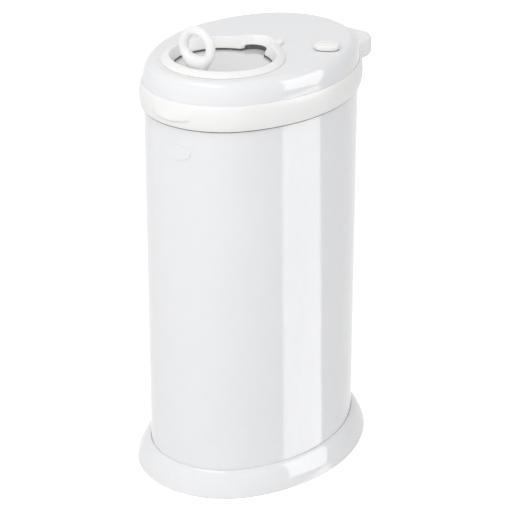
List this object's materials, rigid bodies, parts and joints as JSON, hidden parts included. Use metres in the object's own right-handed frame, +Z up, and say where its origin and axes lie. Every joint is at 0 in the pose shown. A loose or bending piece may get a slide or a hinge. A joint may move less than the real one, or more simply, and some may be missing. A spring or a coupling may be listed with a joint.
{
  "type": "nappy bin",
  "caption": "Oval painted-steel nappy bin with a flared foot, a hinged lid and a sliding door with an upright pull ring and a lock button.",
  "frame": {"origin": "on the floor, under the middle of the body, at the bottom centre of the bounding box", "axes": "+Z up, -Y the front with the badge and finger lip, +X the side of the lock button"},
  "size_m": [0.2628, 0.3368, 0.5856],
  "materials": {
    "white_paint": "glossy white powder coat on steel",
    "white_plastic": "satin off-white moulded plastic",
    "grey_plastic": "matt pale grey moulded plastic",
    "dark_rubber": "soft dark rubber",
    "bare_steel": "zinc-plated steel"
  },
  "bodies": {
    "bin": {"body_shell": "white_paint", "base_skirt": "white_paint", "base_frame": "grey_plastic", "bottom_plate": "bare_steel", "foot_pads": "dark_rubber", "base_screws": "bare_steel", "badge": "white_paint", "rim_collar": "grey_plastic", "collar_rivets": "bare_steel", "bag_ring": "white_plastic", "hinge_bracket": "grey_plastic", "bracket_screws": "bare_steel", "hinge_pin": "bare_steel"},
    "lid": {"lid_band": "white_plastic", "lid_dome": "white_paint", "lid_tray": "grey_plastic", "lid_seal": "dark_rubber", "lid_screws": "bare_steel", "hinge_hood": "white_plastic", "hood_screws": "bare_steel", "bezel": "white_plastic", "door_gasket": "dark_rubber", "door_rails": "grey_plastic", "rail_screws": "bare_steel", "lock_guide": "grey_plastic", "lock_spring": "bare_steel"},
    "door": {"door_panel": "white_paint", "door_carrier": "grey_plastic", "pull_ring": "white_plastic", "ring_screw": "bare_steel"},
    "lock": {"lock_button": "white_plastic", "lock_bolt": "grey_plastic", "bolt_screw": "bare_steel"}
  },
  "joints": [
    {"name": "lid_hinge", "type": "hinge", "parent": "bin", "child": "lid", "pos_m": [0, 0.1617, 0.4781], "axis": [-1, 0, 0], "range_deg": [0, 95]},
    {"name": "door_slide", "type": "slide", "parent": "lid", "child": "door", "axis": [0, 1, 0], "range_m": [0, 0.104]},
    {"name": "lock_slide", "type": "slide", "parent": "lid", "child": "lock", "axis": [-0.848, -0.5299, 0], "range_m": [0, 0.007]}
  ]
}
